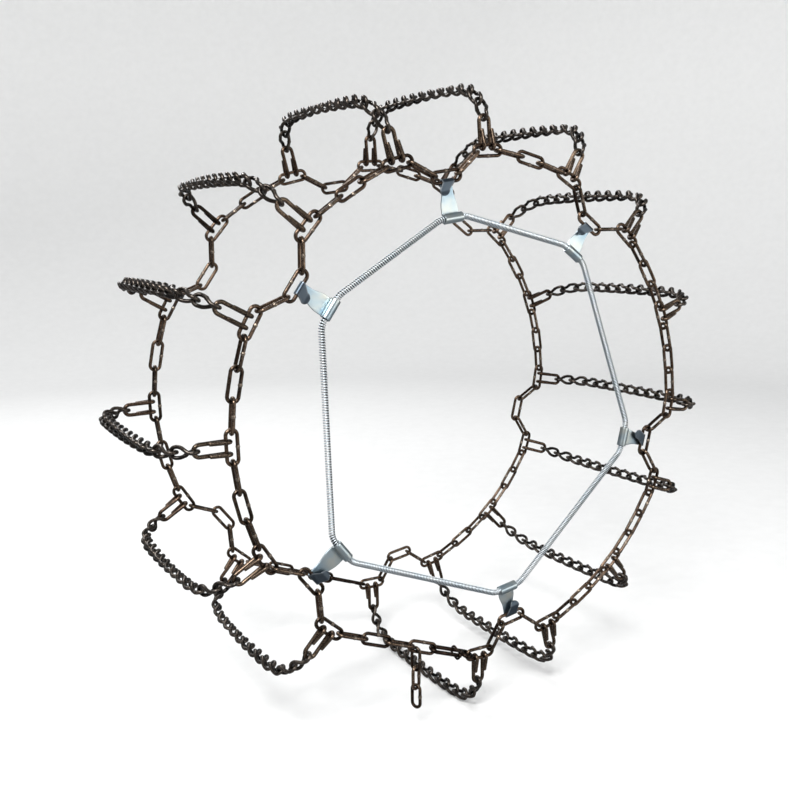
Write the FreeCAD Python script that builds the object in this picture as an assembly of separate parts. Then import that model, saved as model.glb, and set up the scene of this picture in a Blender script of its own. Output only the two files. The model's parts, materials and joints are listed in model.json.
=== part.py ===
import FreeCAD, Part
import math
import os

from FreeCAD import Vector

# Tyre snow chain net for one wheel, as it lies when fitted. Millimetres and degrees.
# The origin is the centre of the tyre, +Y runs along the wheel's axle from the outer face to the inner
# one, and +Z is up. Angles round the wheel start at the top and run clockwise as seen from outside (-Y).

# Tyre that the net fits
TYRE_RADIUS = 430.0
TYRE_HALF_WIDTH = 165.0

# Side chains: welded oval links. One bay runs from one cross chain to the next.
SIDE_WIRE = 4.8
SIDE_LENGTH = 48.0
SIDE_WIDTH = 19.0
SIDE_RING_RADIUS = 350.0
SIDE_STANDOFF = 7.0
SIDE_PLANE = TYRE_HALF_WIDTH + SIDE_STANDOFF
LINK_PLAY = 0.6
ATTACH_TILT = 6.0
WELD_RISE = 0.5
WELD_LENGTH = 3.0
ROLL_SWING = 5.0

# Bays clockwise from the cross chain left of the top: how each is held, and the angle that it spans
BAYS = [
    ("hooked", 22.5), ("open", 23.0), ("hooked", 22.0), ("open", 23.0), ("open", 23.0),
    ("hooked", 20.5), ("open", 23.0), ("open", 23.0), ("hooked", 20.0), ("fastener", 41.5),
    ("hooked", 22.5), ("open", 24.75), ("open", 24.75), ("hooked", 22.5), ("open", 24.0),
]
FIRST_CROSS_ANGLE = -20.5

# Two-legged hooks that join the cross chains to the side chains
HOOK_WIRE = 5.4
HOOK_LEG_SPREAD = 7.6
HOOK_LENGTH = 49.0
HOOK_CLEARANCE = 0.15
HOOK_CLOSING_ANGLE = 14.0
HOOK_TIP_LENGTH = 20.0

# Cross chains: fourteen twisted links over the tread, on a rounded path
CROSS_LINKS = 14
CROSS_WIRE = 5.0
CROSS_WIDTH = 18.5
CROSS_TWIST = 90.0
CROSS_UNWIND = 90.0
CROSS_PLAY = 1.1
CROSS_BAR_BULGE = 1.4
CROSS_BAR_LEAD = 0.6
CROWN_HEIGHT = 7.5
SHOULDER_LEAN = 70.0
CROWN_LEAN = 3.0
FIRST_LINK_LEAN = 31.7

# Spring tensioner: six sheet steel hooks joined by coil springs
STRIP_THICKNESS = 1.8
STRIP_CLEARANCE = 0.35
STRIP_HALF_WIDTH = 9.0
TAB_RADIUS = 7.6
TAB_LENGTH = 17.0
TAB_LEAN = 7.0
EYE_SPRING_RADIUS = 265.0
EYE_OUTER_RADIUS = 6.6
EYE_LENGTH = 28.0
EYE_GAP_ANGLE = 35.0
BODY_HALF_WIDTH = 12.7
SPRING_OUTER_RADIUS = 4.4
SPRING_INNER_RADIUS = 2.6
SPRING_BEND_RADIUS = 26.0
SPRING_END_GAP = 0.4

# Fasteners that close the two side chains
FASTENER_WIRE = 5.6
FASTENER_BEND = 7.0
FASTENER_PITCH = 37.4
FASTENER_ROLL = 14.0
ARM_TIP_GAP = 4.0
KEEPER_WIRE = 3.2
KEEPER_CLEARANCE = 0.4
KEEPER_PLACE = 0.37

# Three smaller links that hang from the last flat link of the outer side chain
TAIL_WIRE = 4.6
TAIL_LINK_LENGTH = 37.0
TAIL_LINK_WIDTH = 18.0
TAIL_TURN = 66.0
TAIL_CLEARANCE = 0.8
TAIL_OFFSET = 8.0

UP = Vector(0, 0, 1)
AXLE = Vector(0, 1, 0)


def radial(angle):
    turn = math.radians(angle)
    return Vector(math.sin(turn), 0, math.cos(turn))


def tangent(angle):
    turn = math.radians(angle)
    return Vector(math.cos(turn), 0, -math.sin(turn))


def placed(shape, origin, along, face):
    """A copy of shape with its X axis along one direction and its Z axis out of the given face."""
    x = Vector(along).normalize()
    z = (Vector(face) - x * x.dot(Vector(face))).normalize()
    y = z.cross(x)
    matrix = FreeCAD.Matrix(
        x.x, y.x, z.x, origin.x,
        x.y, y.y, z.y, origin.y,
        x.z, y.z, z.z, origin.z,
        0, 0, 0, 1,
    )
    copy = shape.copy()
    copy.Placement = FreeCAD.Placement(matrix)
    return copy


def turned(direction, axis, angle):
    return FreeCAD.Rotation(axis, angle).multVec(direction)


def rod(edges, radius):
    """A round bar along a smooth chain of edges."""
    path = Part.Wire(edges)
    first = path.OrderedEdges[0]
    start = first.valueAt(first.FirstParameter)
    heading = first.tangentAt(first.FirstParameter)
    section = Part.Wire([Part.makeCircle(radius, start, heading)])
    return path.makePipeShell([section], True, False)


def half_ring(centre, bend, wire_radius):
    """Half a torus in the XY plane that bulges towards +X."""
    arc = Part.Arc(
        centre + Vector(0, -bend, 0), centre + Vector(bend, 0, 0), centre + Vector(0, bend, 0)
    )
    return rod([arc.toShape()], wire_radius)


def oval_link(length, width, wire):
    """A flat oval link: long axis X, width along Y."""
    bend = (width - wire) / 2
    half = (length - width) / 2
    end = half_ring(Vector(half, 0, 0), bend, wire / 2)
    other_end = end.copy()
    other_end.rotate(Vector(0, 0, 0), UP, 180)
    bars = [
        Part.makeCylinder(wire / 2, 2 * half, Vector(-half, side * bend, 0), Vector(1, 0, 0))
        for side in (-1, 1)
    ]
    return end.multiFuse([other_end] + bars).removeSplitter()


def welded_link(length, width, wire):
    """An oval link with the weld bead in the middle of one bar."""
    link = oval_link(length, width, wire)
    start = Vector(-WELD_LENGTH / 2, (width - wire) / 2, 0)
    bead = Part.makeCylinder(wire / 2 + WELD_RISE, WELD_LENGTH, start, Vector(1, 0, 0))
    round_edges = [edge for edge in bead.Edges if edge.Curve.TypeId == "Part::GeomCircle"]
    return link.fuse(bead.makeFillet(WELD_RISE * 0.7, round_edges))


def side_link():
    return welded_link(SIDE_LENGTH, SIDE_WIDTH, SIDE_WIRE)


def twisted_link(length):
    """A curb link: an oval whose two ends are turned against each other about the long axis."""
    bend = (CROSS_WIDTH - CROSS_WIRE) / 2
    half = (length - CROSS_WIDTH) / 2
    turn = math.radians(CROSS_TWIST / 2)

    def corner(end, side):
        return Vector(end * half, side * bend * math.cos(turn), side * end * bend * math.sin(turn))

    def bar(side):
        near = corner(1, side)
        far = corner(-1, side)
        lead = Vector(half * CROSS_BAR_LEAD, 0, 0)
        middle = Vector(0, side * bend * CROSS_BAR_BULGE, 0)
        curve = Part.BezierCurve()
        curve.setPoles([near, near - lead, middle, far + lead, far])
        return rod([curve.toShape()], CROSS_WIRE / 2)

    ends = []
    for end in (1, -1):
        ring = half_ring(Vector(half, 0, 0), bend, CROSS_WIRE / 2)
        if end < 0:
            ring.rotate(Vector(0, 0, 0), UP, 180)
        ring.rotate(Vector(0, 0, 0), Vector(1, 0, 0), end * CROSS_TWIST / 2)
        ends.append(ring)
    return ends[0].multiFuse([ends[1], bar(1), bar(-1)])


def cross_hook():
    """A two-legged hook. Its legs pass behind the attach link's outer bar, curl round it and double back.

    The local frame is the attach link's: X along it, Y away from the axle and Z out of the tyre.
    """
    bar = Vector(0, (SIDE_WIDTH - SIDE_WIRE) / 2, 0)
    curl = (SIDE_WIRE + HOOK_WIRE) / 2 + HOOK_CLEARANCE
    last = math.radians(90 - HOOK_CLOSING_ANGLE)
    tip = Vector(0, math.sin(last), -math.cos(last)) * HOOK_TIP_LENGTH
    bend = hook_bend_centre()

    def leg(x):
        side = Vector(x, 0, 0)
        behind = side + bar + Vector(0, 0, -curl)
        below = side + bar + Vector(0, -curl, 0)
        before = side + bar + Vector(0, math.cos(last), math.sin(last)) * curl
        return [
            Part.makeLine(before + tip, before),
            Part.Arc(before, below, behind).toShape(),
            Part.makeLine(behind, side + bend),
        ]

    left = leg(-HOOK_LEG_SPREAD)
    right = leg(HOOK_LEG_SPREAD)
    crown = Part.Arc(
        bend + Vector(-HOOK_LEG_SPREAD, 0, 0),
        bend + Vector(0, HOOK_LEG_SPREAD, 0),
        bend + Vector(HOOK_LEG_SPREAD, 0, 0),
    )
    return rod(left + [crown.toShape()] + right[::-1], HOOK_WIRE / 2)


def hook_bend_centre():
    """Centre of the hook's closed bend, in the attach link's frame."""
    bar = (SIDE_WIDTH - SIDE_WIRE) / 2
    curl = (SIDE_WIRE + HOOK_WIRE) / 2 + HOOK_CLEARANCE
    lowest = bar - curl - HOOK_WIRE / 2
    return Vector(0, lowest + HOOK_LENGTH - HOOK_WIRE / 2 - HOOK_LEG_SPREAD, -curl)


# ---- Layout of the side chains ------------------------------------------------------------------

PITCH = SIDE_LENGTH - 2 * SIDE_WIRE
SPAN = PITCH - LINK_PLAY
BAY_COUNT = len(BAYS)

# A link on edge rides round the end bends of its two flat neighbours, so the layout is worked out
# from the centres of those bends.
BEND_OFFSET = (SIDE_LENGTH - SIDE_WIDTH) / 2
BEND_HOLLOW = SIDE_WIDTH / 2 - SIDE_WIRE
EDGE_REACH = SPAN + 2 * BEND_HOLLOW


def cross_angle(index):
    return FIRST_CROSS_ANGLE + sum(span for _, span in BAYS[: index % BAY_COUNT])


def pulled_in(kind):
    return 0.0 if kind == "open" else 1.0


def attach_bends(index):
    """The two bend centres of an attach link in the wheel's plane, tipped to the side pulled in more."""
    angle = cross_angle(index)
    tip = ATTACH_TILT * (pulled_in(BAYS[index][0]) - pulled_in(BAYS[index - 1][0]))
    centre = radial(angle) * SIDE_RING_RADIUS
    along = turned(tangent(angle), AXLE, tip) * BEND_OFFSET
    return centre - along, centre + along


def bay_bends(index):
    """The four bend centres of a bay: the attach link's, the middle link's two, the next attach link's."""
    kind, span = BAYS[index]
    first = attach_bends(index)[1]
    last = attach_bends((index + 1) % BAY_COUNT)[0]
    middle = cross_angle(index) + span / 2
    out = radial(middle)
    across = tangent(middle)
    depth = SIDE_RING_RADIUS
    drift = (first + last).dot(across) / 2
    if kind == "hooked":
        reach = (last - first).dot(across) / 2 - BEND_OFFSET
        depth = max(first.dot(out), last.dot(out)) - math.sqrt(EDGE_REACH**2 - reach**2)
    before, after = [out * depth + across * (drift + end * BEND_OFFSET) for end in (-1, 1)]
    return [first, before, after, last]


def lifted(point, side):
    """A point of the wheel's plane moved into the outer (-1) or inner (1) side chain's plane."""
    return point + AXLE * (side * SIDE_PLANE)


def attach_frame(index, side):
    """Origin, along and face of a cross hook on its attach link. Y points away from the axle."""
    first, last = attach_bends(index)
    return lifted((first + last) / 2, side), (last - first) * (-side), AXLE * side


def flat_link(link, centre, along, side, weld_outside=False):
    """A link flat in its side chain, with its weld on the bar nearer the axle or on the outer one."""
    heading = -side if weld_outside else side
    return placed(link, centre, along * heading, AXLE * side)


def side_links(index, side, link):
    """The three links between two attach links: on edge, flat, on edge.

    Where the tensioner takes the flat link's bar nearer the axle, the weld is on the outer bar.
    """
    bends = bay_bends(index)
    weld_outside = BAYS[index][0] == "hooked"
    out = []
    for number in range(3):
        start, stop = bends[number], bends[number + 1]
        along = stop - start
        centre = lifted((start + stop) / 2, side)
        if number == 1:
            out.append(flat_link(link, centre, along, side, weld_outside))
            continue
        roll = ROLL_SWING * math.sin(3.0 * index + 2.0 * number)
        out.append(placed(link, centre, along, turned(AXLE.cross(along), along, roll)))
    return out


# ---- Cross chains -------------------------------------------------------------------------------


def bend_point(index, side):
    """Centre of a cross hook's closed bend, on the axis that its cross chain swings about."""
    origin, along, face = attach_frame(index, side)
    marker = placed(Part.Vertex(hook_bend_centre()), origin, along, face)
    return marker.Vertexes[0].Point


def cross_path():
    """Joints of a cross chain from the outer hook over the tread to the inner one.

    Y runs across the tyre, and Z is the height above the bend centres of the two hooks. The shoulders
    have the radius that brings the crown to its height over the tread.
    """
    bearing = HOOK_WIRE / 2 + HOOK_CLEARANCE
    first = math.radians(FIRST_LINK_LEAN)
    steep = math.radians(SHOULDER_LEAN)
    shallow = math.radians(CROWN_LEAN)
    bend = bend_point(0, 1)
    start_y = bend.y + bearing * math.sin(first)
    start_z = HOOK_LEG_SPREAD - bearing * math.cos(first)
    across = math.sin(shallow) - math.sin(steep)
    upward = math.cos(shallow) - math.cos(steep)
    arch = math.tan(shallow / 2)
    rise = TYRE_RADIUS + CROWN_HEIGHT - math.hypot(bend.x, bend.z) - start_z
    radius = (rise - start_y * arch) / (upward + across * arch)

    def shoulder(lean, side):
        y = start_y + radius * (math.sin(lean) - math.sin(steep))
        z = start_z + radius * (math.cos(lean) - math.cos(steep))
        return Vector(0, side * y, z)

    def shoulder_arc(side):
        leans = (steep, (steep + shallow) / 2, shallow)
        return Part.Arc(*[shoulder(lean, side) for lean in leans][:: -side]).toShape()

    edge = shoulder(shallow, 1)
    crown = Vector(0, 0, edge.z + edge.y * arch)
    over = Part.Arc(shoulder(shallow, -1), crown, edge).toShape()
    path = Part.Wire([shoulder_arc(-1), over, shoulder_arc(1)])
    return path.discretize(Number=CROSS_LINKS + 1)


def cross_link_length():
    joints = cross_path()
    longest = max((b - a).Length for a, b in zip(joints, joints[1:]))
    return longest + CROSS_PLAY + 2 * CROSS_WIRE


def cross_chain(index, link):
    """The twisted links of one cross chain. The roll that lets both ends hang square in their hooks
    is shared out evenly along the chain."""
    bend = bend_point(index, 1)
    angle = math.degrees(math.atan2(bend.x, bend.z))
    base = UP * math.hypot(bend.x, bend.z)
    turn = FreeCAD.Rotation(AXLE, angle)
    joints = [turn.multVec(base + joint) for joint in cross_path()]
    links = []
    for number, (start, stop) in enumerate(zip(joints, joints[1:])):
        along = stop - start
        face = along.cross(tangent(angle)) * -1
        roll = CROSS_UNWIND * (number / (CROSS_LINKS - 1) - 0.5)
        links.append(placed(link, (start + stop) / 2, along, turned(face, along, roll)))
    return links


# ---- Spring tensioner ---------------------------------------------------------------------------

HOOKED_BAYS = [index for index, (kind, _) in enumerate(BAYS) if kind == "hooked"]
STRIP_BEND = SIDE_WIRE / 2 + STRIP_CLEARANCE + STRIP_THICKNESS / 2
EYE_BEND = EYE_OUTER_RADIUS - STRIP_THICKNESS / 2
EYE_HEIGHT = EYE_BEND - STRIP_BEND


def hook_angle(index):
    return cross_angle(index) + BAYS[index][1] / 2


def hooked_bar_radius(index):
    """Distance from the axle to the inner bar of the link that the tensioner pulls on."""
    bends = bay_bends(index)
    return ((bends[1] + bends[2]) / 2).Length - (SIDE_WIDTH - SIDE_WIRE) / 2


def strip_arc(centre, bend, start, stop, half_width):
    """A curled strip: X is its width, and the angles run from +Y to +Z."""

    def at(radius, angle):
        turn = math.radians(angle)
        return centre + Vector(-half_width, radius * math.cos(turn), radius * math.sin(turn))

    inner = bend - STRIP_THICKNESS / 2
    outer = bend + STRIP_THICKNESS / 2
    middle = (start + stop) / 2
    outline = Part.Wire([
        Part.Arc(at(inner, start), at(inner, middle), at(inner, stop)).toShape(),
        Part.makeLine(at(inner, stop), at(outer, stop)),
        Part.Arc(at(outer, stop), at(outer, middle), at(outer, start)).toShape(),
        Part.makeLine(at(outer, start), at(inner, start)),
    ])
    return Part.Face(outline).extrude(Vector(2 * half_width, 0, 0))


def plate(outline_edges, height):
    """A sheet of the strip's thickness whose mid-plane is at Z = height."""
    face = Part.Face(Part.Wire(outline_edges))
    face.translate(Vector(0, 0, height - STRIP_THICKNESS / 2))
    return face.extrude(Vector(0, 0, STRIP_THICKNESS))


def hook_body(reach):
    """The flared body between the spring eye, at Y = 0, and the fold round the link, at Y = reach."""
    shoulder = BODY_HALF_WIDTH - STRIP_HALF_WIDTH
    flank = [
        Vector(BODY_HALF_WIDTH, 0, 0),
        Vector(BODY_HALF_WIDTH, reach * 0.3, 0),
        Vector(BODY_HALF_WIDTH - shoulder * 0.15, reach * 0.42, 0),
        Vector(STRIP_HALF_WIDTH + shoulder * 0.3, reach * 0.56, 0),
        Vector(STRIP_HALF_WIDTH, reach * 0.72, 0),
        Vector(STRIP_HALF_WIDTH, reach, 0),
    ]
    right = Part.BSplineCurve()
    right.interpolate(Points=flank)
    left = Part.BSplineCurve()
    left.interpolate(Points=[Vector(-p.x, p.y, 0) for p in flank])
    return plate([
        right.toShape(),
        Part.makeLine(flank[-1], Vector(-flank[-1].x, reach, 0)),
        left.toShape(),
        Part.makeLine(Vector(-flank[0].x, 0, 0), flank[0]),
    ], -STRIP_BEND)


def tensioner_hook(reach):
    """One sheet steel hook. Y runs from its spring eye away from the axle, and Z out of the tyre.

    Z = 0 is the mid-plane of the side chain. The strip runs behind the link's inner bar, folds round
    it through the link and ends in front of it in a rounded tab that leans to one side.
    """
    w = STRIP_HALF_WIDTH
    end = Vector(-TAB_LEAN, reach - TAB_LENGTH + TAB_RADIUS, 0)
    side = Vector(TAB_RADIUS, 0, 0)
    tip = Vector(0, TAB_RADIUS, 0)
    tab = plate([
        Part.makeLine(Vector(-w, reach, 0), end - side),
        Part.Arc(end - side, end - tip, end + side).toShape(),
        Part.makeLine(end + side, Vector(w, reach, 0)),
        Part.makeLine(Vector(w, reach, 0), Vector(-w, reach, 0)),
    ], STRIP_BEND)
    fold = strip_arc(Vector(0, reach, 0), STRIP_BEND, -90, 90, w)
    eye = strip_arc(Vector(0, 0, EYE_HEIGHT), EYE_BEND, -90, -450 + EYE_GAP_ANGLE, EYE_LENGTH / 2)
    return hook_body(reach).multiFuse([tab, fold, eye]).removeSplitter()


def tensioner_spring(from_angle, to_angle):
    """One leg of the spring, as a tube from one eye's mouth to the next, bent a little at each end."""
    half_turn = math.radians((to_angle - from_angle) / 2)
    out = EYE_LENGTH / 2 + SPRING_END_GAP
    height = -AXLE * (SIDE_PLANE + EYE_HEIGHT)
    start = radial(from_angle) * EYE_SPRING_RADIUS + tangent(from_angle) * out + height
    stop = radial(to_angle) * EYE_SPRING_RADIUS - tangent(to_angle) * out + height

    def bent(origin, outward, along, share):
        sweep = half_turn * share
        along_part = along * (SPRING_BEND_RADIUS * math.sin(sweep))
        inward_part = outward * (-SPRING_BEND_RADIUS * (1 - math.cos(sweep)))
        return origin + along_part + inward_part

    leave = [bent(start, radial(from_angle), tangent(from_angle), s) for s in (0.5, 1.0)]
    arrive = [bent(stop, radial(to_angle), -tangent(to_angle), s) for s in (0.5, 1.0)]
    edges = [
        Part.Arc(start, leave[0], leave[1]).toShape(),
        Part.makeLine(leave[1], arrive[1]),
        Part.Arc(arrive[1], arrive[0], stop).toShape(),
    ]
    return rod(edges, SPRING_OUTER_RADIUS).cut(rod(edges, SPRING_INNER_RADIUS))


# ---- Fasteners ----------------------------------------------------------------------------------

FASTENER_BAY = next(index for index, (kind, _) in enumerate(BAYS) if kind == "fastener")


def fastener_line(side):
    """Where the two attach links are pulled in the fastener bay, and the direction between them."""
    first = lifted(attach_bends(FASTENER_BAY)[1], side)
    last = lifted(attach_bends((FASTENER_BAY + 1) % BAY_COUNT)[0], side)
    along = (last - first).normalize()
    return first + along * BEND_HOLLOW, last - along * BEND_HOLLOW, along


def fastener_span():
    first, last, _ = fastener_line(-1)
    return (last - first).Length - 4 * FASTENER_PITCH


def fastener_links(side, link):
    """Four links from the last attach link back towards the fastener: edge, flat, edge, flat."""
    _, last, along = fastener_line(side)
    links = []
    for number in range(4):
        centre = last - along * (FASTENER_PITCH * (number + 0.5))
        if number % 2 == 0:
            links.append(placed(link, centre, along, AXLE.cross(along)))
        else:
            links.append(flat_link(link, centre, along, side))
    return links


def fastener_hook(span):
    """A closing hook. X runs from its eye to its bend, Y away from the axle and Z out of the tyre.

    The eye is welded shut round the attach link. The bend takes the last flat link, and the long arm
    doubles back in front of the shank.
    """
    radius = FASTENER_WIRE / 2
    slack = LINK_PLAY / 2
    eye_centre = Vector(FASTENER_BEND - radius - slack, 0, 0)
    bend_centre = Vector(span + radius + slack - FASTENER_BEND, 0, 0)
    tip = Vector(eye_centre.x + FASTENER_BEND + radius + ARM_TIP_GAP, 0, FASTENER_BEND)
    behind = Vector(0, 0, -FASTENER_BEND)
    before = Vector(0, 0, FASTENER_BEND)
    ahead = Vector(FASTENER_BEND, 0, 0)
    eye = Part.makeTorus(FASTENER_BEND, radius, eye_centre, AXLE)
    shank = rod([
        Part.makeLine(eye_centre + behind, bend_centre + behind),
        Part.Arc(bend_centre + behind, bend_centre + ahead, bend_centre + before).toShape(),
        Part.makeLine(bend_centre + before, tip),
    ], radius)
    return eye.fuse(shank)


def keeper_ring():
    """The sliding ring that holds the arm of the outer fastener down: long axis X, width along Y."""
    inside = FASTENER_WIRE + 2 * KEEPER_CLEARANCE
    width = inside + 2 * KEEPER_WIRE
    length = 2 * FASTENER_BEND + inside + 2 * KEEPER_WIRE
    return oval_link(length, width, KEEPER_WIRE)


def fastener_face(side):
    """The way that a fastener's arm faces: out of the tyre and a little away from the axle."""
    return turned(AXLE * side, fastener_line(side)[2], FASTENER_ROLL * side)


def keeper_centre():
    first, _, along = fastener_line(-1)
    return first + along * (fastener_span() * KEEPER_PLACE)


def tail_pivot():
    """Point of the last flat link's outer bar that the tail hangs on, and the direction of that bar."""
    _, last, along = fastener_line(-1)
    flat_centre = last - along * (FASTENER_PITCH * 3.5)
    outward = AXLE.cross(along)
    if outward.dot(flat_centre) < 0:
        outward = -outward
    return flat_centre + outward * ((SIDE_WIDTH - SIDE_WIRE) / 2) + along * TAIL_OFFSET, along


def tail_frames():
    """Centre and face of each tail link. Their long axes point up."""
    bar, along = tail_pivot()
    pitch = TAIL_LINK_LENGTH - 2 * TAIL_WIRE
    top = bar + UP * (SIDE_WIRE / 2 + TAIL_CLEARANCE - pitch / 2)
    wide = turned(Vector(along.x, 0, 0).normalize(), UP, -TAIL_TURN)
    faces = (wide.cross(UP), wide, wide.cross(UP))
    return [(top - UP * ((pitch - LINK_PLAY) * number), face) for number, face in enumerate(faces)]


# ---- Nodes --------------------------------------------------------------------------------------


def export(name, solids):
    shape = solids[0] if len(solids) == 1 else Part.makeCompound(solids)
    shape.exportStep(os.path.join("parts", name + ".step"))


def build_side_chains():
    link = side_link()
    for side, name in ((-1, "outer"), (1, "inner")):
        frames = [attach_frame(index, side) for index in range(BAY_COUNT)]
        attach = [placed(link, origin, -along, face) for origin, along, face in frames]
        export(name + "_attach_links", attach)
        export(name + "_fastener_links", fastener_links(side, link))
    tensioned = []
    inner = []
    for index, (kind, _) in enumerate(BAYS):
        if kind == "fastener":
            continue
        inner += side_links(index, 1, link)
        if kind == "hooked":
            tensioned += side_links(index, -1, link)
        else:
            export(f"outer_side_links_{index + 1:02d}", side_links(index, -1, link))
    export("outer_tensioned_links", tensioned)
    export("inner_side_links", inner)
    tail = welded_link(TAIL_LINK_LENGTH, TAIL_LINK_WIDTH, TAIL_WIRE)
    for number, (centre, face) in enumerate(tail_frames(), 1):
        export(f"tail_link_{number}", [placed(tail, centre, UP, face)])


def build_cross_chains():
    hook = cross_hook()
    link = twisted_link(cross_link_length())
    for side, name in ((-1, "outer"), (1, "inner")):
        hooks = [placed(hook, *attach_frame(index, side)) for index in range(BAY_COUNT)]
        export(name + "_cross_hooks", hooks)
    for index in range(BAY_COUNT):
        export(f"cross_chain_{index + 1:02d}", cross_chain(index, link))


def build_tensioner():
    count = len(HOOKED_BAYS)
    for number, index in enumerate(HOOKED_BAYS):
        angle = hook_angle(index)
        hook = tensioner_hook(hooked_bar_radius(index) - EYE_SPRING_RADIUS)
        origin = radial(angle) * EYE_SPRING_RADIUS - AXLE * SIDE_PLANE
        export(f"tensioner_hook_{number + 1}", [placed(hook, origin, tangent(angle), -AXLE)])
        following = HOOKED_BAYS[(number + 1) % count]
        to_angle = hook_angle(following) + (360 if following < index else 0)
        export(f"tensioner_spring_{number + 1}", [tensioner_spring(angle, to_angle)])


def build_fasteners():
    hook = fastener_hook(fastener_span())
    for side, name in ((-1, "outer"), (1, "inner")):
        first, _, along = fastener_line(side)
        export(name + "_fastener_hook", [placed(hook, first, along, fastener_face(side))])
    keeper = placed(keeper_ring(), keeper_centre(), fastener_face(-1), fastener_line(-1)[2])
    export("fastener_keeper", [keeper])


os.makedirs("parts", exist_ok=True)
build_side_chains()
build_cross_chains()
build_tensioner()
build_fasteners()
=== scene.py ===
import json
import math

import bpy
import numpy as np
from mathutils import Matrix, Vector


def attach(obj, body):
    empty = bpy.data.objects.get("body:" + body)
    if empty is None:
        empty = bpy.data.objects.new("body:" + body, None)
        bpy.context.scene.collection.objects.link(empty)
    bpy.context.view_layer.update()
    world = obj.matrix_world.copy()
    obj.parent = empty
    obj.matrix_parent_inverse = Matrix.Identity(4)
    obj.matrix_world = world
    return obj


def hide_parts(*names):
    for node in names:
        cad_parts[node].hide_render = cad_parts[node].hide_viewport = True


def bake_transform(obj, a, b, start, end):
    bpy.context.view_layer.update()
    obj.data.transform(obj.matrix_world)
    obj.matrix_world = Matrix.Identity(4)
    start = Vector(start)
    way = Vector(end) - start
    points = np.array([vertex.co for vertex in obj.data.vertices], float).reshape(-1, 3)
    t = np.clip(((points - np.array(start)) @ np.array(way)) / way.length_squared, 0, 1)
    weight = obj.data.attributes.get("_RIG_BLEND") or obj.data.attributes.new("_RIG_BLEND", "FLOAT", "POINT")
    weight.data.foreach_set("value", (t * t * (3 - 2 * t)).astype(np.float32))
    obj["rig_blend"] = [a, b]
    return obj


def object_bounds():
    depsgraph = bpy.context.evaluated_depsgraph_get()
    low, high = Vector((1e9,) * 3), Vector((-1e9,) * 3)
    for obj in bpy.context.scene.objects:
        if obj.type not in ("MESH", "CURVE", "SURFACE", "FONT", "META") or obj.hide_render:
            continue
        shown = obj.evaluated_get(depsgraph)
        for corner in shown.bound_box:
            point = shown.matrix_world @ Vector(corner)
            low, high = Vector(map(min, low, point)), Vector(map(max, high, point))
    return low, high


# A tyre snow chain net. Every piece is swept wire or bent sheet, set in the place that its CAD solid
# holds. Metres, in the CAD frame: +Y along the axle from the outer face to the inner one, +Z up.

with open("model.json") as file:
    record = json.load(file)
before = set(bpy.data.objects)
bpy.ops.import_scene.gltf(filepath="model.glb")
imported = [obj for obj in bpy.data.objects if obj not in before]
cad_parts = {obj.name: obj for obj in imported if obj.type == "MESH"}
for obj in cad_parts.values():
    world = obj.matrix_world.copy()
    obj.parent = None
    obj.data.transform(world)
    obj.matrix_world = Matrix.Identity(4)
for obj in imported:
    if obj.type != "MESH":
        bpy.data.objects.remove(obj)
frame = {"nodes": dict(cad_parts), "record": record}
cad_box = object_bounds()
chance = np.random.default_rng(41)

MM = 0.001
AXLE = np.array([0.0, 1.0, 0.0])
OUTER, INNER = -1, 1

# Side chain links: length, width and wire
SIDE_LENGTH = 48.0 * MM
SIDE_WIDTH = 19.0 * MM
SIDE_WIRE = 4.8 * MM
SIDE_LINK = (SIDE_LENGTH, SIDE_WIDTH, SIDE_WIRE)

# Smaller links of the tail, in the same order
TAIL_LINK = (37.0 * MM, 18.0 * MM, 4.6 * MM)

# Cross chain links
CROSS_WIRE = 5.0 * MM
CROSS_WIDTH = 18.5 * MM
CROSS_TWIST = 90.0
CROSS_BAR_BULGE = 1.4
CROSS_BAR_LEAD = 0.6

# Two-legged hooks of the cross chains
HOOK_WIRE = 5.4 * MM
HOOK_LEG_SPREAD = 7.6 * MM
HOOK_CLEARANCE = 0.15 * MM
HOOK_CURL = (SIDE_WIRE + HOOK_WIRE) / 2 + HOOK_CLEARANCE
HOOK_CLOSING_ANGLE = 14.0
HOOK_TIP_LENGTH = 20.0 * MM
HOOK_LENGTH = 49.0 * MM
WIRE_CHAMFER = 1.2 * MM

# Sheet steel hooks of the tensioner
STRIP_THICKNESS = 1.8 * MM
STRIP_CLEARANCE = 0.35 * MM
STRIP_BEND = SIDE_WIRE / 2 + STRIP_CLEARANCE + STRIP_THICKNESS / 2
STRIP_HALF_WIDTH = 9.0 * MM
STRIP_EDGE_RADIUS = 0.5 * MM
TAB_RADIUS = 7.6 * MM
TAB_LENGTH = 17.0 * MM
TAB_LEAN = 7.0 * MM
TAB_DIP = 1.4 * MM
HOOK_SLACK = 6.0 * MM
TAB_FLAT = HOOK_SLACK + SIDE_WIRE / 2 + 0.6 * MM
EYE_OUTER_RADIUS = 6.6 * MM
EYE_BEND = EYE_OUTER_RADIUS - STRIP_THICKNESS / 2
EYE_HEIGHT = EYE_BEND - STRIP_BEND
EYE_HALF_LENGTH = 14.0 * MM
EYE_GAP_ANGLE = 35.0
BODY_HALF_WIDTH = 12.7 * MM

# Share of painted blue reflection on the sheet at its fold, where the tab's painted shade counts as 1
FOLD_PAINTED_REFLECTION = 0.4

# The tensioner's spring, and how far each leg is stretched: the step from turn to turn
SPRING_WIRE = 1.8 * MM
SPRING_OUTER_RADIUS = 4.4 * MM
SPRING_BEND_RADIUS = 26.0 * MM
SPRING_SIDES = 8
SPRING_STEPS = 16
SPRING_END_GAP = 0.4 * MM
SPRING_PITCHES = (2.3 * MM, 2.4 * MM, 2.5 * MM, 2.5 * MM, 3.3 * MM, 3.2 * MM)

NODE_BODY = {}
for body_name, members in frame["record"]["behaviour"]["bodies"].items():
    for member in members:
        NODE_BODY[member] = body_name


# ---- Reading the CAD solids --------------------------------------------------------------------


def unit(vector):
    return vector / np.linalg.norm(vector)


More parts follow.
